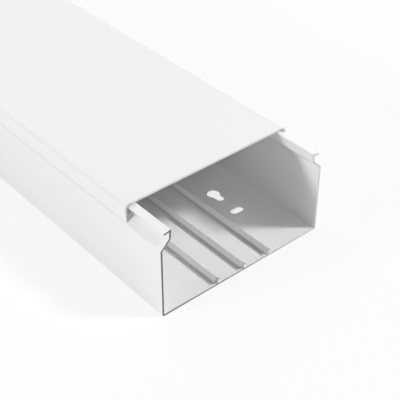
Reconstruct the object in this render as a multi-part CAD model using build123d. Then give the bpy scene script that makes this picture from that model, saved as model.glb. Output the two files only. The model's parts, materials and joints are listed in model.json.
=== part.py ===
# Wall trunking for cables, 120 x 60 mm, in a 2 m stock length: a channel with a clip-on lid.
# Both pieces are plastic extrusions, so each is one section drawn across the length and extruded.
#
# Frame: X across the width, Y along the length, Z up. The origin is at the middle of the base's
# underside. The end that lies open is at -Y: there the lid is slid back and shows the inside.

import os
from math import atan2, cos

from build123d import *

# Overall sizes, in millimetres
LENGTH = 2000.0          # stock length of the base
LID_LENGTH = 2000.0      # stock length of the lid
WIDTH = 120.0            # outside width of the base and of the lid
HEIGHT = 60.0            # height over the closed lid
LID_SETBACK = 30.0       # how far the lid's end stands back from the base's open end

# Walls, and the clearance that lets the lid slide on the base
BASE_WALL = 1.2
LID_WALL = 1.3
CLEARANCE = 0.3

# Base section, given along the inner surface of its wall
CLIP_DEPTH = 13.8        # from the lid's top down to where the side wall turns into the shoulder
SHOULDER_IN = 5.8        # how far the shoulder steps in
SHOULDER_RISE = 5.8      # how far the shoulder climbs over that step
WEB_LEAN = 0.5           # how far the web above the shoulder leans in
FLANGE_DROP = 1.1        # how far the flange slopes down to its outer edge
BASE_CORNER_R = 1.5      # outside radius along the two bottom edges
SHOULDER_R = 1.6         # outside radius where side wall and shoulder meet
FOOT_R = 2.4             # inside radius where shoulder and web meet
FLANGE_R = 0.4           # radius on the flange's inner top edge

# Clip ribs on the floor, which hold a push-in partition
RIB_COUNT = 3
RIB_PITCH = 20.0
RIB_HEIGHT = 4.9         # above the floor
RIB_STEM = 1.0
RIB_HEAD_WIDTH = 4.3
RIB_HEAD_DROP = 2.2      # from the ridge to the two barbs
RIB_HEAD_WALL = 0.9

# Lid section
LID_CORNER_R = 3.2       # outside radius along the lid's two long edges
LEG_LEAN = 0.7           # how far the leg leans in towards its lower end
HOOK_WALL = 0.9
HOOK_PLAY = 0.6          # from the hook's tip to the base's web
HOOK_GAP = 0.6           # from the hook's tip down to the base's shoulder
HOOK_LIFT = 0.5          # how much wider that gap is at the hook's root, on the leg

# Fixing holes punched in the floor at every station: on either side a slot across the length,
# and behind it a keyhole along the length
HOLE_ROW_SPACING = 70.0
STATION_PITCH = 250.0
FIRST_SLOT = 44.0        # from the base's open end to the middle of the first slot
SLOT_LENGTH = 9.5
SLOT_WIDTH = 5.5
KEYHOLE_OFFSET = 16.0    # from a slot to the centre of the keyhole's narrow end
KEYHOLE_TRAVEL = 6.5     # from there to the centre of its wide end
KEYHOLE_WIDTH = 5.5
KEYHOLE_HEAD_D = 8.8

# Places that follow from the sizes
OPEN_END = -LENGTH / 2
LID_END = OPEN_END + LID_SETBACK
FLOOR_TOP = BASE_WALL
SIDE_HEIGHT = HEIGHT - CLIP_DEPTH
FLANGE_TOP = HEIGHT - LID_WALL - CLEARANCE
FLANGE_TIP_X = WIDTH / 2 - LID_WALL - LEG_LEAN - CLEARANCE
SIDE_X = WIDTH / 2 - BASE_WALL
FOOT_X = SIDE_X - SHOULDER_IN
STATION_REACH = KEYHOLE_OFFSET + KEYHOLE_TRAVEL + KEYHOLE_HEAD_D / 2
STATION_COUNT = 1 + int((LENGTH - FIRST_SLOT - STATION_REACH) // STATION_PITCH)


def both_sides(half):
    """A half section drawn at +X, joined with its mirror image."""
    return half + mirror(half, about=Plane.YZ)


def extruded(section, start_y, length):
    """The section, drawn as X and Z, extruded towards +Y from start_y."""
    return extrude(Plane.XZ.offset(-start_y) * section, amount=-length)


# Base: floor, side wall, shoulder, web and flange are one strip of even thickness. It is drawn
# along its inner surface and thickened outwards.
inner_line = FilletPolyline(
    (0, FLOOR_TOP),
    (SIDE_X, FLOOR_TOP),
    (SIDE_X, SIDE_HEIGHT),
    (FOOT_X, SIDE_HEIGHT + SHOULDER_RISE),
    (FOOT_X - WEB_LEAN, FLANGE_TOP),
    (FLANGE_TIP_X, FLANGE_TOP - FLANGE_DROP),
    radius=[BASE_CORNER_R - BASE_WALL, SHOULDER_R - BASE_WALL, FOOT_R, FLANGE_R],
)
shell = both_sides(
    make_face(offset(inner_line, amount=BASE_WALL, side=Side.RIGHT, closed=True))
)

# A clip rib is a stem with an arrow head. It starts inside the floor, so that the two fuse.
stem_x = RIB_STEM / 2
barb_x = RIB_HEAD_WIDTH / 2
ridge_z = FLOOR_TOP + RIB_HEIGHT
head_slope = RIB_HEAD_DROP / barb_x
rib = both_sides(
    make_face(
        Polyline(
            (0, FLOOR_TOP / 2),
            (stem_x, FLOOR_TOP / 2),
            (stem_x, ridge_z - RIB_HEAD_WALL - stem_x * head_slope),
            (barb_x, ridge_z - RIB_HEAD_WALL - RIB_HEAD_DROP),
            (barb_x, ridge_z - RIB_HEAD_DROP),
            (0, ridge_z),
            close=True,
        )
    )
)
ribs = GridLocations(RIB_PITCH, 0, RIB_COUNT, 1) * rib
base = extruded(shell + ribs, OPEN_END, LENGTH)

# The punch makes one station at a time, and each station is cut right through the floor.
slot = SlotOverall(SLOT_LENGTH, SLOT_WIDTH)
keyhole_neck = SlotCenterToCenter(KEYHOLE_TRAVEL, KEYHOLE_WIDTH, rotation=90)
keyhole = Pos(0, KEYHOLE_TRAVEL / 2) * keyhole_neck
keyhole += Pos(0, KEYHOLE_TRAVEL) * Circle(KEYHOLE_HEAD_D / 2)
punches = slot + Pos(0, KEYHOLE_OFFSET) * keyhole
for station in range(STATION_COUNT):
    slot_y = OPEN_END + FIRST_SLOT + station * STATION_PITCH
    for side_of_row in (-1, 1):
        row_x = side_of_row * HOLE_ROW_SPACING / 2
        base -= extrude(Pos(row_x, slot_y) * punches, amount=BASE_WALL)

# Lid: top, rounded edge and leg are one strip, drawn along its outer surface and thickened
# inwards.
leg_x = WIDTH / 2 - LEG_LEAN
outer_line = FilletPolyline(
    (0, HEIGHT),
    (WIDTH / 2, HEIGHT),
    (leg_x, SIDE_HEIGHT),
    radius=LID_CORNER_R,
)
half_lid = make_face(offset(outer_line, amount=LID_WALL, side=Side.RIGHT, closed=True))

# The leg ends just over the base's shoulder. A little above its end a hook rises inwards, close to
# the shoulder, and lies under the flange.
shoulder_slope = SHOULDER_RISE / SHOULDER_IN
shoulder_cos = cos(atan2(SHOULDER_RISE, SHOULDER_IN))
hook_tip_x = FOOT_X + BASE_WALL + HOOK_PLAY


def above_shoulder(x, distance):
    """A point over the shoulder, at this x and this far out from its inner surface."""
    return (x, SIDE_HEIGHT + (SIDE_X - x) * shoulder_slope + distance / shoulder_cos)


leg_end = BASE_WALL + CLEARANCE
hook_tip = BASE_WALL + HOOK_GAP
hook_root = hook_tip + HOOK_LIFT
half_lid += make_face(
    Polyline(
        above_shoulder(leg_x, hook_root),
        above_shoulder(leg_x, hook_root + HOOK_WALL),
        above_shoulder(hook_tip_x, hook_tip + HOOK_WALL),
        above_shoulder(hook_tip_x, hook_tip),
        close=True,
    )
)
half_lid -= make_face(
    Polyline(
        above_shoulder(WIDTH / 2, leg_end),
        above_shoulder(FOOT_X, leg_end),
        (FOOT_X, 0),
        (WIDTH / 2, 0),
        close=True,
    )
)
lid = extruded(both_sides(half_lid), LID_END, LID_LENGTH)

# One file for each piece
os.makedirs("parts", exist_ok=True)
for name, solid in (("trunking_base", base), ("trunking_lid", lid)):
    solid.label = name
    export_step(solid, f"parts/{name}.step")
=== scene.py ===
# %% [markdown]
# # White wall trunking with its lid slid back
# The object is two long plastic extrusions. The base is a channel that is screwed to a wall, and
# the lid clips over it once the cables are in. The lid is slid back a little from the open end, so
# the inside shows: three arrow-headed ribs along the floor, and the fixing holes punched in it.
# Each piece has one section from end to end. So this lesson draws each section once, sweeps it
# along the length with Geometry Nodes, and spends its care on the section, the cut edges and the
# plastic.

# %% Load the fixed model
import json
import math

import bmesh
import bpy
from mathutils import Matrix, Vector


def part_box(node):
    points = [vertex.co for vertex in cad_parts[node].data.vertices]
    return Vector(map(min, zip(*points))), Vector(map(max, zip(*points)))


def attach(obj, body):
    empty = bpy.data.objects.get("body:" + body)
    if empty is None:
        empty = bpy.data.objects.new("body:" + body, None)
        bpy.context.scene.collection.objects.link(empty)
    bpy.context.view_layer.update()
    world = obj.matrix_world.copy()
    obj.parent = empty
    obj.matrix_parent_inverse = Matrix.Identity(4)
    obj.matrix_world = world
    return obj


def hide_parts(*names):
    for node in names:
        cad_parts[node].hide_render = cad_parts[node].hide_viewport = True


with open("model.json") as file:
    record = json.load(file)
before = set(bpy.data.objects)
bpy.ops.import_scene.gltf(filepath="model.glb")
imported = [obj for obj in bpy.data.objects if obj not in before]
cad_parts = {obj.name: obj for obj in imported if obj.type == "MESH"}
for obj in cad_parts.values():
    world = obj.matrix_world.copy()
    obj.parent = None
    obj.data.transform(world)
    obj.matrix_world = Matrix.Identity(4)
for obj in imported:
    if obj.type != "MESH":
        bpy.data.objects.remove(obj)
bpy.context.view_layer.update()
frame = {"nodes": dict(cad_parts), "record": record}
MM = 0.001
for name in frame["nodes"]:
    low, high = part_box(name)
    print(f"{name}: {[round(size / MM, 2) for size in high - low]} mm")

# %% [markdown]
# ## Camera
# The photograph looks down on the open end from the front left. Long straight edges tell a lot
# about the camera: their vanishing points gave its angle and its lens, and the ends of the front
# section gave its distance. The camera stands on a line from a target point, so it is written as
# the target, two angles and a distance, which are easier to read and to change than a matrix.

# %% Camera
CAMERA_AZIMUTH = math.radians(-40.406)
CAMERA_ELEVATION = math.radians(37.202)
CAMERA_TARGET = Vector((7.717, -952.244, 20.0)) * MM
CAMERA_DISTANCE = 586.661 * MM
FOCAL_PIXELS = 970.593
PHOTO_PIXELS = 400
SENSOR_WIDTH = 36.0
FARTHEST_SEEN = 50.0


def direction(azimuth, elevation):
    """From the object towards something seen at this azimuth, 0 being straight in front."""
    flat = math.cos(elevation)
    return Vector((math.sin(azimuth) * flat, -math.cos(azimuth) * flat, math.sin(elevation)))


camera_data = bpy.data.cameras.new("camera")
camera_data.sensor_width = SENSOR_WIDTH
camera_data.lens = FOCAL_PIXELS / PHOTO_PIXELS * SENSOR_WIDTH
camera_data.clip_end = FARTHEST_SEEN
camera = bpy.data.objects.new("camera", camera_data)
camera.location = CAMERA_TARGET + direction(CAMERA_AZIMUTH, CAMERA_ELEVATION) * CAMERA_DISTANCE
camera.rotation_euler = (math.pi / 2 - CAMERA_ELEVATION, 0.0, CAMERA_AZIMUTH)
bpy.context.scene.collection.objects.link(camera)
bpy.context.scene.camera = camera
print(f"lens {camera_data.lens:.1f} mm, camera at {[round(v, 3) for v in camera.location]} m")

# %% [markdown]
# ## Light
# Product photographs of white plastic are lit by large soft sources round the object. The ribs'
# shadows fall to the left and have fairly clear edges, so the main light is high on the front
# right and not very large, and a wider one above it softens its shadows. The right wall's inner
# face is bright in front, behind a soft curved edge: that is a low light on the left, cut off by
# the left wall. Three weaker lights fill in from both sides. Sun lamps stand for all of them,
# because a sun's angle sets how soft its shadows are and it lights the whole length alike. The
# strengths were found by lighting the model with one light at a time and solving for the sum
# that gives the greys of the photograph.

# %% Lamps
# All angles are in degrees. An azimuth of 0 is straight in front, and 90 is on the right.
LAMPS = {
    "key_front_right": {"azimuth": 50, "elevation": 46, "angle": 9, "strength": 1.85},
    "wide_above_key": {"azimuth": 45, "elevation": 62, "angle": 30, "strength": 0.51},
    "low_left": {"azimuth": -107, "elevation": 18, "angle": 8, "strength": 1.15},
    "behind_left": {"azimuth": -120, "elevation": 34, "angle": 26, "strength": 0.3},
    "front_left": {"azimuth": -30, "elevation": 34, "angle": 26, "strength": 0.62},
    "side_right": {"azimuth": 120, "elevation": 8, "angle": 26, "strength": 0.4},
}


def add_sun(name, azimuth, elevation, angle, strength):
    """A sun lamp that shines from this direction, as soft as its angle is wide."""
    lamp_data = bpy.data.lights.new(name, "SUN")
    lamp_data.energy = strength
    lamp_data.angle = math.radians(angle)
    lamp = bpy.data.objects.new(name, lamp_data)
    lamp.rotation_euler = (math.pi / 2 - math.radians(elevation), 0.0, math.radians(azimuth))
    bpy.context.scene.collection.objects.link(lamp)


for lamp_name, settings in LAMPS.items():
    add_sun(lamp_name, **settings)

# %% [markdown]
# ## The white room
# The rest of the light comes from the white backdrop behind the trunking. It could be a large lit
# wall. Here it is the world's own background, which has no edges and hides nothing: its light is
# strongest straight behind and fades to nothing at the sides. What meets the eye is pure white
# all round, as in the photograph, so gloss reflects a white room too. That takes a few sums on
# values, and the helpers write them as nodes.

# %% Helpers for nodes
def add_node(tree, kind, **settings):
    """A node of this kind in the tree, with these properties set."""
    node = tree.nodes.new(kind)
    for key, value in settings.items():
        setattr(node, key, value)
    return node


def add_math(tree, operation, first, second):
    """The result of a sum on two values, each a number or another node's output."""
    node = add_node(tree, "ShaderNodeMath", operation=operation)
    for socket, value in zip(node.inputs, (first, second)):
        if isinstance(value, bpy.types.NodeSocket):
            tree.links.new(value, socket)
        else:
            socket.default_value = value
    return node.outputs[0]


def seen_directly(tree):
    """1 for what is seen, also in gloss or through glass, and 0 for light on the object."""
    path = add_node(tree, "ShaderNodeLightPath")
    gloss = add_math(tree, "MAXIMUM", path.outputs["Is Camera Ray"], path.outputs["Is Glossy Ray"])
    return add_math(tree, "MAXIMUM", gloss, path.outputs["Is Transmission Ray"])


print("node helpers ready")

# %% The white room
BACKDROP_STRENGTH = 0.75

world = bpy.data.worlds.new("white_room")
world.use_nodes = True
bpy.context.scene.world = world
background = world.node_tree.nodes["Background"]
background.inputs["Color"].default_value = (1.0, 1.0, 1.0, 1.0)
towards = add_node(world.node_tree, "ShaderNodeSeparateXYZ")
sky = add_node(world.node_tree, "ShaderNodeTexCoord")
world.node_tree.links.new(sky.outputs["Generated"], towards.inputs["Vector"])
backdrop = add_math(world.node_tree, "MULTIPLY", towards.outputs["Y"], BACKDROP_STRENGTH)
backdrop = add_math(world.node_tree, "MAXIMUM", backdrop, 0.0)
strength = add_math(world.node_tree, "MAXIMUM", backdrop, seen_directly(world.node_tree))
world.node_tree.links.new(strength, background.inputs["Strength"])
bpy.context.scene.view_settings.view_transform = "Standard"
print(f"room: {BACKDROP_STRENGTH} of full white straight behind, none from the sides or the front")

# %% [markdown]
# ## Floor
# The photograph's background is pure white. The floor gets that from its own colour for rays that
# reach the eye, and stays an ordinary pale floor for the light that bounces off it. A small share
# of it stays a lit surface for the camera too, so the trunking keeps a faint shadow to stand on.

# %% Floor
FLOOR_HALF_SIZE = 12.0
SHADOW_SHARE = 0.22
FLOOR_ALBEDO = 0.9

floor_mesh = bpy.data.meshes.new("floor")
signs = ((-1, -1), (1, -1), (1, 1), (-1, 1))
corners = [(x * FLOOR_HALF_SIZE, y * FLOOR_HALF_SIZE, 0.0) for x, y in signs]
floor_mesh.from_pydata(corners, [], [(0, 1, 2, 3)])
floor = bpy.data.objects.new("floor", floor_mesh)
bpy.context.scene.collection.objects.link(floor)

floor_paint = bpy.data.materials.new("floor_paint")
floor_paint.use_nodes = True
floor_tree = floor_paint.node_tree
floor_tree.nodes.clear()
lit = add_node(floor_tree, "ShaderNodeBsdfDiffuse")
lit.inputs["Color"].default_value = (FLOOR_ALBEDO, FLOOR_ALBEDO, FLOOR_ALBEDO, 1.0)
white = add_node(floor_tree, "ShaderNodeEmission")
white.inputs["Strength"].default_value = 1.0
floor_mix = add_node(floor_tree, "ShaderNodeMixShader")
floor_out = add_node(floor_tree, "ShaderNodeOutputMaterial")
share = add_math(floor_tree, "MULTIPLY", seen_directly(floor_tree), 1.0 - SHADOW_SHARE)
floor_tree.links.new(share, floor_mix.inputs["Fac"])
floor_tree.links.new(lit.outputs[0], floor_mix.inputs[1])
floor_tree.links.new(white.outputs[0], floor_mix.inputs[2])
floor_tree.links.new(floor_mix.outputs[0], floor_out.inputs["Surface"])
floor_mesh.materials.append(floor_paint)
print(f"floor {2 * FLOOR_HALF_SIZE} m square")

# %% [markdown]
# ## The plastic
# Rigid white PVC leaves the die with a satin skin. Seen close, it isn't even: the die draws
# hair-fine lines along the whole length, the skin has a faint orange peel, the white drifts a
# little in tone, and handling leaves a few dull rubs. All of it is worked out from Object
# coordinates, which stay with the piece. Stretching a noise pattern along Y turns its grains into
# lines, which is how the die lines are made.

# %% Helpers for materials
WHOLE = (0.0, 1.0)
NOISE_CORE = (0.35, 0.65)
NOISE_SPREAD = (0.3, 0.7)


def add_mapping(tree, scale, shift=(0.0, 0.0, 0.0)):
    """Object coordinates in metres, scaled and then moved by shift."""
    coordinates = add_node(tree, "ShaderNodeTexCoord")
    mapping = add_node(tree, "ShaderNodeMapping")
    mapping.inputs["Location"].default_value = shift
    mapping.inputs["Scale"].default_value = scale
    tree.links.new(coordinates.outputs["Object"], mapping.inputs["Vector"])
    return mapping.outputs["Vector"]


def add_noise(tree, vector, detail=2.0, roughness=0.5):
    """Noise with one grain for each unit of the vector that is given."""
    noise = add_node(tree, "ShaderNodeTexNoise")
    noise.inputs["Scale"].default_value = 1.0
    noise.inputs["Detail"].default_value = detail
    noise.inputs["Roughness"].default_value = roughness
    tree.links.new(vector, noise.inputs["Vector"])
    return noise.outputs["Fac"]


def add_range(tree, value, source, target):
    """The value, with its source range mapped to the target range and held inside it."""
    node = add_node(tree, "ShaderNodeMapRange")
    for labels, limits in ((("From Min", "From Max"), source), (("To Min", "To Max"), target)):
        for label, limit in zip(labels, limits):
            node.inputs[label].default_value = limit
    tree.links.new(value, node.inputs["Value"])
    return node.outputs["Result"]


def add_blend(tree, factor, first, second):
    """A colour between two colours, each a tuple or another node's output."""
    node = add_node(tree, "ShaderNodeMix", data_type="RGBA")
    tree.links.new(factor, node.inputs["Factor"])
    colour_inputs = [socket for socket in node.inputs if socket.type == "RGBA"]
    for socket, value in zip(colour_inputs, (first, second)):
        if isinstance(value, bpy.types.NodeSocket):
            tree.links.new(value, socket)
        else:
            socket.default_value = (*value, 1.0)
    return [socket for socket in node.outputs if socket.type == "RGBA"][0]


def add_bump(tree, height, depth, strength, under=None):
    """A bump of this depth in metres, laid over another bump's normal if one is given."""
    bump = add_node(tree, "ShaderNodeBump")
    bump.inputs["Strength"].default_value = strength
    bump.inputs["Distance"].default_value = depth
    tree.links.new(height, bump.inputs["Height"])
    if under is not None:
        tree.links.new(under, bump.inputs["Normal"])
    return bump.outputs["Normal"]


PVC_IOR = 1.53


def new_plastic(name):
    """An empty plastic finish: its material, its tree and its shader."""
    material = bpy.data.materials.new(name)
    material.use_nodes = True
    shader = material.node_tree.nodes["Principled BSDF"]
    shader.inputs["IOR"].default_value = PVC_IOR
    return material, material.node_tree, shader


print("material helpers ready")

# %% Satin skin of the extrusions
WHITE = (0.862, 0.862, 0.855)
WHITE_DRIFT = (0.840, 0.841, 0.832)
LINE_GREY = (0.790, 0.790, 0.782)
RUB_GREY = (0.76, 0.76, 0.75)
LINE_CORE = (0.48, 0.72)
LINE_SHARE = 0.3
LINE_DEPTH = 0.02 * MM
PEEL_DEPTH = 0.01 * MM
RUB_CORE = (0.62, 0.74)
RUB_SHARE = 0.18
RUB_DULLNESS = 0.12
SKIN_ROUGHNESS = (0.40, 0.50)

# Grains for each metre along X, Y and Z
DRIFT_GRAINS = (14, 5, 14)
LINE_GRAINS = (900, 2.5, 900)
PEEL_GRAINS = (1300, 1300, 1300)
RUB_GRAINS = (45, 12, 45)


def satin_skin(name, shift):
    """Extruded PVC: die lines along Y, orange peel, drifting tone and a few dull rubs."""
    material, tree, shader = new_plastic(name)
    drift = add_noise(tree, add_mapping(tree, DRIFT_GRAINS, shift), detail=3.0)
    lines = add_noise(tree, add_mapping(tree, LINE_GRAINS, shift), detail=3.0, roughness=0.7)
    peel = add_noise(tree, add_mapping(tree, PEEL_GRAINS, shift), detail=1.0)
    rub_field = add_noise(tree, add_mapping(tree, RUB_GRAINS, shift), detail=5.0, roughness=0.75)
    rubs = add_range(tree, rub_field, RUB_CORE, WHOLE)

    tone = add_blend(tree, add_range(tree, drift, NOISE_CORE, WHOLE), WHITE, WHITE_DRIFT)
    line_share = add_range(tree, lines, LINE_CORE, (0.0, LINE_SHARE))
    tone = add_blend(tree, line_share, tone, LINE_GREY)
    tone = add_blend(tree, add_math(tree, "MULTIPLY", rubs, RUB_SHARE), tone, RUB_GREY)
    tree.links.new(tone, shader.inputs["Base Color"])

    dullness = add_range(tree, lines, NOISE_SPREAD, SKIN_ROUGHNESS)
    dullness = add_math(tree, "ADD", dullness, add_math(tree, "MULTIPLY", rubs, RUB_DULLNESS))
    tree.links.new(dullness, shader.inputs["Roughness"])

    relief = add_bump(tree, lines, LINE_DEPTH, strength=0.5)
    relief = add_bump(tree, peel, PEEL_DEPTH, strength=0.4, under=relief)
    tree.links.new(relief, shader.inputs["Normal"])
    return material


base_skin = satin_skin("base_skin", (0.0, 0.0, 0.0))
lid_skin = satin_skin("lid_skin", (3.1, 1.7, 5.3))
print("satin skins:", base_skin.name, lid_skin.name)

# %% [markdown]
# ## Sawn ends
# The lengths are sawn, which leaves a dull face with close slanting lines, greyer than the skin.
# On top of that the cuts carry painted shade: the base's cut is painted nearly dark on the left
# and gets paler towards the right, and the lid's cut is painted dark at the left leg only. So the
# tone of a cut is a scale along X, from painted shade to the sawn grey. The slanting lines are
# noise with long grains. A Mapping node of the type Texture turns the coordinates before it
# divides them by the grain's size, so the grains slant. The type Point scales first, which would
# leave them upright.

# %% Sawn ends
# The first tone is the plain sawn grey. The second is painted shade, for the dark end of a cut.
SAWN_UNSHADED = (0.74, 0.74, 0.73)
SAWN_PAINTED_SHADE = (0.13, 0.13, 0.13)
SAWN_ROUGHNESS = (0.62, 0.85)
TEETH_TILT = math.radians(24)
TEETH_WIDTH = 0.25 * MM
TEETH_LENGTH = 4.0 * MM
TEETH_DEPTH = 0.08 * MM
TEETH_SHARE = 0.6
# Specks and the saw's teeth swing the painted shade a little, at random.
SPECK_GRAINS = (160, 160, 160)
SHADE_SWING = (-0.08, 0.08)


def add_split(tree):
    """Object coordinates, split into X across the width, Y along the length and Z up."""
    coordinates = add_node(tree, "ShaderNodeTexCoord")
    split = add_node(tree, "ShaderNodeSeparateXYZ")
    tree.links.new(coordinates.outputs["Object"], split.inputs["Vector"])
    return split.outputs


def sawn_face(name, shaded_x, unshaded_x, unshaded_share):
    """A sawn end: slanting lines of the saw's teeth, and painted shade that fades along X between
    the two given places.
    """
    material, tree, shader = new_plastic(name)
    coordinates = add_node(tree, "ShaderNodeTexCoord")
    turned = add_node(tree, "ShaderNodeMapping", vector_type="TEXTURE")
    turned.inputs["Rotation"].default_value = (0.0, TEETH_TILT, 0.0)
    turned.inputs["Scale"].default_value = (TEETH_WIDTH, TEETH_WIDTH, TEETH_LENGTH)
    tree.links.new(coordinates.outputs["Object"], turned.inputs["Vector"])
    teeth = add_noise(tree, turned.outputs["Vector"], detail=2.0, roughness=0.6)
    specks = add_noise(tree, add_mapping(tree, SPECK_GRAINS), detail=4.0, roughness=0.65)
    teeth_part = add_math(tree, "MULTIPLY", teeth, TEETH_SHARE)
    specks_part = add_math(tree, "MULTIPLY", specks, 1.0 - TEETH_SHARE)
    grain = add_math(tree, "ADD", teeth_part, specks_part)

    # Painted shade: the cut is darkest at one X and gets paler towards the other, with a small
    # random swing.
    unshaded = add_range(tree, add_split(tree)["X"], (shaded_x, unshaded_x), (0.0, unshaded_share))
    swing = add_range(tree, grain, NOISE_CORE, SHADE_SWING)
    unshaded = add_range(tree, add_math(tree, "ADD", unshaded, swing), WHOLE, WHOLE)
    dullness = add_range(tree, teeth, NOISE_SPREAD, SAWN_ROUGHNESS)
    relief = add_bump(tree, teeth, TEETH_DEPTH, strength=0.7)
    tree.links.new(add_blend(tree, unshaded, SAWN_PAINTED_SHADE, SAWN_UNSHADED), shader.inputs["Base Color"])
    tree.links.new(dullness, shader.inputs["Roughness"])
    tree.links.new(relief, shader.inputs["Normal"])
    return material


# Painted shade: the base's cut darkens towards its left wall, and the lid's cut is dark at its
# left leg.
sawn_base = sawn_face("sawn_base", shaded_x=-60 * MM, unshaded_x=60 * MM, unshaded_share=0.85)
sawn_lid = sawn_face("sawn_lid", shaded_x=-72 * MM, unshaded_x=-54 * MM, unshaded_share=1.0)
print("sawn faces:", sawn_base.name, sawn_lid.name)

# %% [markdown]
# ## Walls of the punched holes
# The punch shears the floor half way through and tears the rest. So the upper part of a hole's
# wall is smooth, and the lower part is rough and a little greyer. Both are one material, which
# reads the height from Object coordinates, and noise added to that height makes the border
# between them ragged.

# %% Walls of the punched holes
PUNCHED_LIGHT = (0.84, 0.84, 0.83)
PUNCHED_TORN = (0.66, 0.66, 0.65)
PUNCHED_ROUGHNESS = (0.38, 0.8)
TORN_GRAINS = (900, 900, 900)
TORN_FADE = 0.3 * MM
TORN_DEPTH = 0.06 * MM


def punched_face(name, smooth_above):
    """A punched hole's wall: smooth above this height, where the punch sheared, and torn below."""
    material, tree, shader = new_plastic(name)
    ragged = add_noise(tree, add_mapping(tree, TORN_GRAINS), detail=3.0, roughness=0.7)
    waver = add_math(tree, "MULTIPLY", ragged, TORN_FADE)
    edge = add_math(tree, "ADD", add_split(tree)["Z"], waver)
    torn = add_range(tree, edge, (smooth_above, smooth_above + TORN_FADE), (1.0, 0.0))
    dullness = add_range(tree, torn, WHOLE, PUNCHED_ROUGHNESS)
    relief = add_bump(tree, add_math(tree, "MULTIPLY", ragged, torn), TORN_DEPTH, strength=0.8)
    tree.links.new(add_blend(tree, torn, PUNCHED_LIGHT, PUNCHED_TORN), shader.inputs["Base Color"])
    tree.links.new(dullness, shader.inputs["Roughness"])
    tree.links.new(relief, shader.inputs["Normal"])
    return material


punched_pvc = punched_face("punched_pvc", smooth_above=0.6 * MM)
print("punched face:", punched_pvc.name)

# %% [markdown]
# ## One tree that sweeps a section
# An extruded piece is fully described by its section, its two ends and its material. So the
# Geometry Nodes tree takes just those: the section comes in as a closed line of points, each with
# the radius of its corner, gets its corners rounded, and is swept along Y. The caps at both ends
# are the sawn faces, and they are found by their normals. A sweep along Y keeps the section's X
# and turns its Y downwards, so the section is drawn with its heights as -Y.

# %% Helpers for node trees
def new_tree(name, sockets):
    """A Geometry Nodes tree with a geometry input and output, and these named inputs."""
    tree = bpy.data.node_groups.new(name, "GeometryNodeTree")
    tree.interface.new_socket("Geometry", in_out="INPUT", socket_type="NodeSocketGeometry")
    for label, kind in sockets.items():
        tree.interface.new_socket(label, in_out="INPUT", socket_type=kind)
    tree.interface.new_socket("Geometry", in_out="OUTPUT", socket_type="NodeSocketGeometry")
    return tree, add_node(tree, "NodeGroupInput").outputs, add_node(tree, "NodeGroupOutput").inputs


def settle(piece):
    """Makes what the piece's modifiers show its own plain mesh, and removes them."""
    graph = bpy.context.evaluated_depsgraph_get()
    shown = piece.evaluated_get(graph)
    mesh = bpy.data.meshes.new_from_object(shown, preserve_all_data_layers=True, depsgraph=graph)
    piece.modifiers.clear()
    piece.data = mesh
    mesh.name = piece.name


def run_tree(piece, tree, values):
    """Runs the tree on the piece, with the tree's named inputs set to these values."""
    modifier = piece.modifiers.new(tree.name, "NODES")
    modifier.node_group = tree
    for item in tree.interface.items_tree:
        if item.in_out == "INPUT" and item.name in values:
            modifier[item.identifier] = values[item.name]
    bpy.context.view_layer.update()
    settle(piece)


print("tree helpers ready")

# %% Tree: swept section
CAP_NORMAL_Y = 0.9

sweep_tree, given, result = new_tree("swept_section", {
    "Start": "NodeSocketVector",
    "End": "NodeSocketVector",
    "Corner Steps": "NodeSocketInt",
    "Skin": "NodeSocketMaterial",
    "Sawn Face": "NodeSocketMaterial",
})
link = sweep_tree.links.new

corner_radius = add_node(sweep_tree, "GeometryNodeInputNamedAttribute", data_type="FLOAT")
corner_radius.inputs["Name"].default_value = "corner_radius"
outline = add_node(sweep_tree, "GeometryNodeMeshToCurve")
rounded = add_node(sweep_tree, "GeometryNodeFilletCurve", mode="POLY")
rounded.inputs["Limit Radius"].default_value = True
path = add_node(sweep_tree, "GeometryNodeCurvePrimitiveLine")
sweep = add_node(sweep_tree, "GeometryNodeCurveToMesh")
sweep.inputs["Fill Caps"].default_value = True
link(given["Geometry"], outline.inputs["Mesh"])
link(outline.outputs["Curve"], rounded.inputs["Curve"])
link(given["Corner Steps"], rounded.inputs["Count"])
link(corner_radius.outputs["Attribute"], rounded.inputs["Radius"])
link(given["Start"], path.inputs["Start"])
link(given["End"], path.inputs["End"])
link(path.outputs["Curve"], sweep.inputs["Curve"])
link(rounded.outputs["Curve"], sweep.inputs["Profile Curve"])

normal = add_node(sweep_tree, "GeometryNodeInputNormal")
normal_parts = add_node(sweep_tree, "ShaderNodeSeparateXYZ")
along = add_node(sweep_tree, "ShaderNodeMath", operation="ABSOLUTE")
is_cap = add_node(sweep_tree, "FunctionNodeCompare", data_type="FLOAT", operation="GREATER_THAN")
is_cap.inputs["B"].default_value = CAP_NORMAL_Y
link(normal.outputs["Normal"], normal_parts.inputs["Vector"])
link(normal_parts.outputs["Y"], along.inputs[0])
link(along.outputs[0], is_cap.inputs["A"])

real = add_node(sweep_tree, "GeometryNodeRealizeInstances")
skin_all = add_node(sweep_tree, "GeometryNodeSetMaterial")
saw_caps = add_node(sweep_tree, "GeometryNodeSetMaterial")
link(sweep.outputs["Mesh"], real.inputs["Geometry"])
link(real.outputs["Geometry"], skin_all.inputs["Geometry"])
link(given["Skin"], skin_all.inputs["Material"])
link(skin_all.outputs["Geometry"], saw_caps.inputs["Geometry"])
link(is_cap.outputs["Result"], saw_caps.inputs["Selection"])
link(given["Sawn Face"], saw_caps.inputs["Material"])
link(saw_caps.outputs["Geometry"], result["Geometry"])
print("tree:", sweep_tree.name, len(sweep_tree.nodes), "nodes")

# %% [markdown]
# ## Section of the base
# Floor, side, shoulder, web and flange are one strip of even thickness. The strip's inner line is
# written down, and its outer line is found by moving it sideways by the wall. Round the two
# bottom corners and the shoulder the outer radius is the inner one plus the wall, and at the
# web's foot, which bends the other way, it is the inner one less the wall. The shoulder and the
# flange are what the lid clips round, so this is the part of the section to get right.

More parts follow.
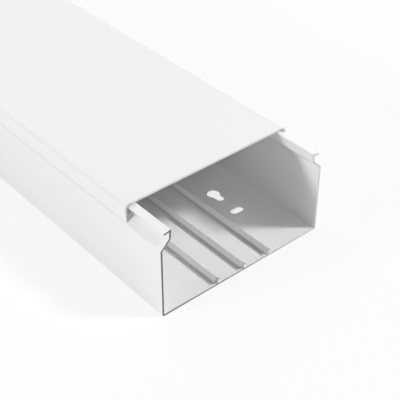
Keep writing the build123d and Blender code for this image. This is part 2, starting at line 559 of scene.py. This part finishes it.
# %% Sizes of the base
base_low, base_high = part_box("trunking_base")
lid_low, lid_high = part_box("trunking_lid")
WIDTH = base_high.x - base_low.x
HEIGHT = lid_high.z
BASE_WALL = 1.2 * MM
LID_WALL = 1.3 * MM
CLEARANCE = 0.3 * MM
CLIP_DEPTH = 13.8 * MM
SHOULDER_IN = 5.8 * MM
SHOULDER_RISE = 5.8 * MM
WEB_LEAN = 0.5 * MM
FLANGE_DROP = 1.1 * MM
LEG_LEAN = 0.7 * MM
BASE_CORNER_R = 1.5 * MM
SHOULDER_R = 1.6 * MM
FOOT_R = 2.4 * MM
FLANGE_R = 0.4 * MM
SMALL_R = 0.2 * MM

SIDE_HEIGHT = HEIGHT - CLIP_DEPTH
SIDE_X = WIDTH / 2 - BASE_WALL
FOOT_X = SIDE_X - SHOULDER_IN
FLANGE_TOP = HEIGHT - LID_WALL - CLEARANCE
FLANGE_TIP_X = WIDTH / 2 - LID_WALL - LEG_LEAN - CLEARANCE
print(f"base {WIDTH / MM:.1f} mm wide, shoulders at {SIDE_HEIGHT / MM:.1f} mm")

# %% Section of the base
def beside(line, distance):
    """The corners of a line that runs along this one, this far to its right."""
    legs = [(end - start).normalized() for start, end in zip(line, line[1:])]
    sides = [Vector((leg.y, -leg.x)) for leg in legs]
    moved = [line[0] + sides[0] * distance]
    for corner, before, after in zip(line[1:-1], sides, sides[1:]):
        moved.append(corner + (before + after) * distance / (1 + before.dot(after)))
    moved.append(line[-1] + sides[-1] * distance)
    return moved


def mirrored(corners):
    """The same corners on the other side, in the order that carries on round the outline."""
    return [(Vector((-point.x, point.y)), radius) for point, radius in reversed(corners)]


inner_line = [
    Vector((0, BASE_WALL)),
    Vector((SIDE_X, BASE_WALL)),
    Vector((SIDE_X, SIDE_HEIGHT)),
    Vector((FOOT_X, SIDE_HEIGHT + SHOULDER_RISE)),
    Vector((FOOT_X - WEB_LEAN, FLANGE_TOP)),
    Vector((FLANGE_TIP_X, FLANGE_TOP - FLANGE_DROP)),
]
outer_line = beside(inner_line, BASE_WALL)
inner_radii = [BASE_CORNER_R - BASE_WALL, SHOULDER_R - BASE_WALL, FOOT_R, FLANGE_R, SMALL_R]
outer_radii = [BASE_CORNER_R, SHOULDER_R, FOOT_R - BASE_WALL, SMALL_R, SMALL_R]
outside = list(zip(outer_line[1:], outer_radii))
inside = list(zip(inner_line[1:], inner_radii))
right_wall = outside + inside[::-1]
print("wall, shoulder, web and flange:", len(right_wall), "corners on either side")

# %% [markdown]
# ## Clip ribs
# Three ribs stand on the floor, each a stem with an arrow head. A partition that keeps two kinds
# of cable apart is pushed down over one of them, and the barbs hold it. They come out of the same
# die as the floor, so they aren't pieces of their own: the section's line climbs over each rib on
# its way across the floor, and the corners get a small radius, as a die's corners have.

# %% Clip ribs
RIB_COUNT = 3
RIB_PITCH = 20.0 * MM
RIB_HEIGHT = 4.9 * MM
RIB_STEM = 1.0 * MM
RIB_HEAD_WIDTH = 4.3 * MM
RIB_HEAD_DROP = 2.2 * MM
RIB_HEAD_WALL = 0.9 * MM


def rib(centre):
    """A clip rib's corners, from its right foot over the arrow head to its left foot."""
    stem = RIB_STEM / 2
    barb = RIB_HEAD_WIDTH / 2
    ridge = BASE_WALL + RIB_HEIGHT
    slope = RIB_HEAD_DROP / barb
    half = [
        (Vector((stem, BASE_WALL)), SMALL_R),
        (Vector((stem, ridge - RIB_HEAD_WALL - stem * slope)), SMALL_R / 2),
        (Vector((barb, ridge - RIB_HEAD_WALL - RIB_HEAD_DROP)), SMALL_R),
        (Vector((barb, ridge - RIB_HEAD_DROP)), SMALL_R),
        (Vector((0, ridge)), SMALL_R),
    ]
    return [(point + Vector((centre, 0)), radius) for point, radius in half + mirrored(half[:-1])]


ribs = []
for number in range(RIB_COUNT):
    ribs += rib((RIB_COUNT - 1 - 2 * number) / 2 * RIB_PITCH)
base_section = right_wall + ribs + mirrored(right_wall)
print("base section:", len(base_section), "corners")

# %% [markdown]
# ## The swept base
# The section becomes a mesh of nothing but points and the edges between them, and an attribute
# carries the radius of each corner. With the two ends and two materials that is all that the tree
# needs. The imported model's box says where the ends are, so the length isn't written here again.

# %% Sweep the base
CORNER_STEPS = 6


def section_piece(name, section):
    """An object whose mesh is the section's closed line, with a radius on each of its points."""
    mesh = bpy.data.meshes.new(name)
    # A section's corners run anticlockwise as seen from the open end. Heights as -Y turn that
    # round, so the line is taken backwards, and the faces of the sweep look outwards.
    backwards = section[::-1]
    points = [(point.x, -point.y, 0.0) for point, radius in backwards]
    edges = [(index, (index + 1) % len(points)) for index in range(len(points))]
    mesh.from_pydata(points, edges, [])
    radii = mesh.attributes.new("corner_radius", "FLOAT", "POINT")
    radii.data.foreach_set("value", [radius for point, radius in backwards])
    piece = bpy.data.objects.new(name, mesh)
    bpy.context.scene.collection.objects.link(piece)
    return piece


base = section_piece("base_channel", base_section)
run_tree(base, sweep_tree, {
    "Start": (0.0, base_low.y, 0.0),
    "End": (0.0, base_high.y, 0.0),
    "Corner Steps": CORNER_STEPS,
    "Skin": base_skin,
    "Sawn Face": sawn_base,
})
print("base channel:", len(base.data.polygons), "faces")

# %% [markdown]
# ## Punched holes
# A press punches the floor at every 250 mm: on either side a slot across the length for a screw,
# and behind it a keyhole that hangs on a screw already in the wall. The punch is made once, as a
# stack of outlines. Where it enters, plastic is drawn in and the edge is rounded, so its outlines
# widen there.

# %% Shape of the punch
ENTRY_ROUND = 0.25 * MM
ENTRY_STEPS = 4
PUNCH_BELOW = 1.0 * MM
PUNCH_ABOVE = 0.5 * MM
ARC_STEPS = 20
KEYHOLE_OFFSET = 16.0 * MM
KEYHOLE_TRAVEL = 6.5 * MM
mounts = {mount["name"]: mount for mount in frame["record"]["mounts"]}
slots = mounts["end_screw_slots"]["dims"]
slot_half_width = slots["hole_r_mm"] * MM
slot_half_run = slots["slot_length_mm"] * MM / 2 - slot_half_width
neck_radius = slot_half_width
head_radius = mounts["keyhole_open_end_right"]["dims"]["r_mm"] * MM


def arc(centre, radius, start, end):
    """Points on an arc, with angles in radians from +X towards +Y."""
    x, y = centre
    turns = [start + (end - start) * step / ARC_STEPS for step in range(ARC_STEPS + 1)]
    return [(x + radius * math.cos(turn), y + radius * math.sin(turn)) for turn in turns]


def slot_outline(grow):
    """A slot across the length, with its edge this much outside the hole's."""
    radius = slot_half_width + grow
    right = arc((slot_half_run, 0.0), radius, -math.pi / 2, math.pi / 2)
    left = arc((-slot_half_run, 0.0), radius, math.pi / 2, 3 * math.pi / 2)
    return right + left


def keyhole_outline(grow):
    """A keyhole along the length, its narrow end towards the open end of the trunking."""
    neck = neck_radius + grow
    head = head_radius + grow
    shoulder = math.asin(neck / head)
    first, last = shoulder - math.pi / 2, 3 * math.pi / 2 - shoulder
    narrow = arc((0.0, KEYHOLE_OFFSET), neck, math.pi, 2 * math.pi)
    wide = arc((0.0, KEYHOLE_OFFSET + KEYHOLE_TRAVEL), head, first, last)
    return narrow + wide


def stacked(outlines):
    """A closed mesh through these outlines, each a height and its points: vertices and faces."""
    count = len(outlines[0][1])
    vertices = [(x, y, height) for height, points in outlines for x, y in points]
    faces = [tuple(reversed(range(count)))]
    for level in range(len(outlines) - 1):
        for index in range(count):
            following = (index + 1) % count
            low, high = level * count, (level + 1) * count
            faces.append((low + index, low + following, high + following, high + index))
    faces.append(tuple(range(len(vertices) - count, len(vertices))))
    return vertices, faces


def punch_levels(outline):
    """The outline at each height: straight through the floor, and wider where the punch enters."""
    levels = [(-PUNCH_BELOW, outline(0.0))]
    for step in range(ENTRY_STEPS + 1):
        turn = step / ENTRY_STEPS * math.pi / 2
        height = BASE_WALL - ENTRY_ROUND * (1 - math.sin(turn))
        levels.append((height, outline(ENTRY_ROUND * (1 - math.cos(turn)))))
    levels.append((BASE_WALL + PUNCH_ABOVE, outline(ENTRY_ROUND)))
    return levels


punch_vertices, punch_faces = [], []
for outline_of in (slot_outline, keyhole_outline):
    vertices, faces = stacked(punch_levels(outline_of))
    punch_faces += [tuple(index + len(punch_vertices) for index in face) for face in faces]
    punch_vertices += vertices
punch_mesh = bpy.data.meshes.new("punch")
punch_mesh.from_pydata(punch_vertices, [], punch_faces)
punch = bpy.data.objects.new("punch", punch_mesh)
print("punch:", len(punch_faces), "faces")

# %% [markdown]
# ## Two rows of punched holes
# Sixteen slots and sixteen keyholes in two straight rows are a grid. So the tree puts a copy of
# the punch on each point of a grid, makes the copies real, and takes them all from the base at
# once. The copies' faces are marked before the cut, because the walls of the holes are made of
# them, and the mark then finds those walls and gives them their own material.

# %% Tree: punched rows
ROW_COUNT = 2

punch_tree, given, result = new_tree("punched_rows", {
    "Punch": "NodeSocketObject",
    "Row Spacing": "NodeSocketFloat",
    "Rows Length": "NodeSocketFloat",
    "Stations": "NodeSocketInt",
    "Middle": "NodeSocketVector",
    "Punched Face": "NodeSocketMaterial",
})
link = punch_tree.links.new

grid = add_node(punch_tree, "GeometryNodeMeshGrid")
grid.inputs["Vertices X"].default_value = ROW_COUNT
placed = add_node(punch_tree, "GeometryNodeTransform")
shape = add_node(punch_tree, "GeometryNodeObjectInfo")
copies = add_node(punch_tree, "GeometryNodeInstanceOnPoints")
solid_copies = add_node(punch_tree, "GeometryNodeRealizeInstances")
marked = add_node(punch_tree, "GeometryNodeStoreNamedAttribute", data_type="BOOLEAN")
marked.domain = "FACE"
marked.inputs["Name"].default_value = "punched"
marked.inputs["Value"].default_value = True
cut = add_node(punch_tree, "GeometryNodeMeshBoolean", operation="DIFFERENCE", solver="EXACT")
is_punched = add_node(punch_tree, "GeometryNodeInputNamedAttribute", data_type="BOOLEAN")
is_punched.inputs["Name"].default_value = "punched"
real = add_node(punch_tree, "GeometryNodeRealizeInstances")
sheared = add_node(punch_tree, "GeometryNodeSetMaterial")
link(given["Row Spacing"], grid.inputs["Size X"])
link(given["Rows Length"], grid.inputs["Size Y"])
link(given["Stations"], grid.inputs["Vertices Y"])
link(grid.outputs["Mesh"], placed.inputs["Geometry"])
link(given["Middle"], placed.inputs["Translation"])
link(given["Punch"], shape.inputs["Object"])
link(placed.outputs["Geometry"], copies.inputs["Points"])
link(shape.outputs["Geometry"], copies.inputs["Instance"])
link(copies.outputs["Instances"], solid_copies.inputs["Geometry"])
link(solid_copies.outputs["Geometry"], marked.inputs["Geometry"])
link(given["Geometry"], cut.inputs["Mesh 1"])
link(marked.outputs["Geometry"], cut.inputs["Mesh 2"])
link(cut.outputs["Mesh"], real.inputs["Geometry"])
link(real.outputs["Geometry"], sheared.inputs["Geometry"])
link(is_punched.outputs["Attribute"], sheared.inputs["Selection"])
link(given["Punched Face"], sheared.inputs["Material"])
link(sheared.outputs["Geometry"], result["Geometry"])
print("tree:", punch_tree.name, len(punch_tree.nodes), "nodes")

# %% Punch the floor
STATION_PITCH = 250.0 * MM
rows_length = slots["spacing_y_mm"] * MM
run_tree(base, punch_tree, {
    "Punch": punch,
    "Row Spacing": slots["spacing_x_mm"] * MM,
    "Rows Length": rows_length,
    "Stations": round(rows_length / STATION_PITCH) + 1,
    "Middle": tuple(mounts["end_screw_slots"]["pos_m"]),
    "Punched Face": punched_pvc,
})
print("punched base:", len(base.data.polygons), "faces")

# %% [markdown]
# ## Section of the lid
# The lid is flat, with a rounded edge and a short leg on each side that leans in. A little above
# the leg's end a hook rises inwards, close to the base's shoulder. It lies under the flange, and
# that is what holds the lid on. The hook's two faces are lines drawn at a distance from the
# shoulder, and where they meet the leg's two faces gives the corners.

# %% Section of the lid
LID_CORNER_R = 3.2 * MM
HOOK_WALL = 0.9 * MM
HOOK_PLAY = 0.6 * MM
HOOK_GAP = 0.6 * MM
HOOK_LIFT = 0.5 * MM
leg_x = WIDTH / 2 - LEG_LEAN
tip_x = FOOT_X + BASE_WALL + HOOK_PLAY


def above_shoulder(x, distance):
    """A point over the shoulder, at this x and this far out from its inner surface."""
    slope = SHOULDER_RISE / SHOULDER_IN
    return Vector((x, SIDE_HEIGHT + (SIDE_X - x) * slope + distance * math.sqrt(1 + slope ** 2)))


def meeting(line, other):
    """The point where two straight lines meet, each given by two points on it."""
    start, run, other_run = line[0], line[1] - line[0], other[1] - other[0]
    share = (other[0] - start).cross(other_run) / run.cross(other_run)
    return start + run * share


leg_outer = [Vector((0, HEIGHT)), Vector((WIDTH / 2, HEIGHT)), Vector((leg_x, SIDE_HEIGHT))]
leg_inner = beside(leg_outer, LID_WALL)
end_gap = BASE_WALL + CLEARANCE
tip_gap = BASE_WALL + HOOK_GAP
root_gap = tip_gap + HOOK_LIFT


def over_shoulder(at_leg, at_tip):
    """A line from the leg to the hook's tip, this far from the shoulder at either end."""
    return [above_shoulder(leg_x, at_leg), above_shoulder(tip_x, at_tip)]


end_line = over_shoulder(end_gap, end_gap)
hook_below = over_shoulder(root_gap, tip_gap)
hook_above = over_shoulder(root_gap + HOOK_WALL, tip_gap + HOOK_WALL)
right_edge = [
    (meeting(leg_inner[1:], hook_above), SMALL_R),
    (hook_above[1], SMALL_R),
    (hook_below[1], SMALL_R),
    (meeting(leg_inner[1:], hook_below), SMALL_R / 2),
    (meeting(leg_inner[1:], end_line), SMALL_R / 2),
    (meeting(leg_outer[1:], end_line), SMALL_R),
    (leg_outer[1], LID_CORNER_R),
]
under_corner = [(leg_inner[1], LID_CORNER_R - LID_WALL)]
lid_section = under_corner + right_edge + mirrored(right_edge) + mirrored(under_corner)
print("lid section:", len(lid_section), "corners")

# %% [markdown]
# ## The swept lid
# Base and lid are the same kind of thing, a section with two sawn ends, so the tree that swept
# the base sweeps the lid too. Only the values of its inputs differ. The lid's box says how far it
# is slid back.

# %% Sweep the lid
lid = section_piece("lid_cover", lid_section)
run_tree(lid, sweep_tree, {
    "Start": (0.0, lid_low.y, 0.0),
    "End": (0.0, lid_high.y, 0.0),
    "Corner Steps": CORNER_STEPS,
    "Skin": lid_skin,
    "Sawn Face": sawn_lid,
})
print("lid:", len(lid.data.polygons), "faces")

# %% [markdown]
# ## Shading and the place in the model
# Long flat faces beside narrow rounded ones look dented if every normal is a plain average, so the
# Weighted Normal modifier lets the large faces decide. Edges over 30 degrees stay sharp. Then each
# piece takes the place of the plain solid that it shows and rides on the same body. A sweep can
# come out inside out, which a render hardly shows. Then the volume that the mesh encloses is
# negative, so that is printed too.

# %% Shade the pieces and put them in place
SHARP_ANGLE = math.radians(30)
CUBIC_CENTIMETRE = 1e-6


def enclosed_volume(mesh):
    """The volume inside a closed mesh. It is negative where the faces look inwards."""
    work = bmesh.new()
    work.from_mesh(mesh)
    volume = work.calc_volume(signed=True)
    work.free()
    return volume


for piece, body, node, finish in (
    (base, "base", "trunking_base", "base_plastic"),
    (lid, "lid", "trunking_lid", "lid_plastic"),
):
    piece.data.shade_smooth()
    piece.data.set_sharp_from_angle(angle=SHARP_ANGLE)
    weighted = piece.modifiers.new("even_normals", "WEIGHTED_NORMAL")
    weighted.keep_sharp = True
    settle(piece)
    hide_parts(node)
    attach(piece, body)
    size = [round(side / MM, 2) for side in piece.dimensions]
    volume = enclosed_volume(piece.data) / CUBIC_CENTIMETRE
    print(f"{piece.name}: {size} mm, {volume:.1f} cubic cm, {len(piece.data.materials)} materials")
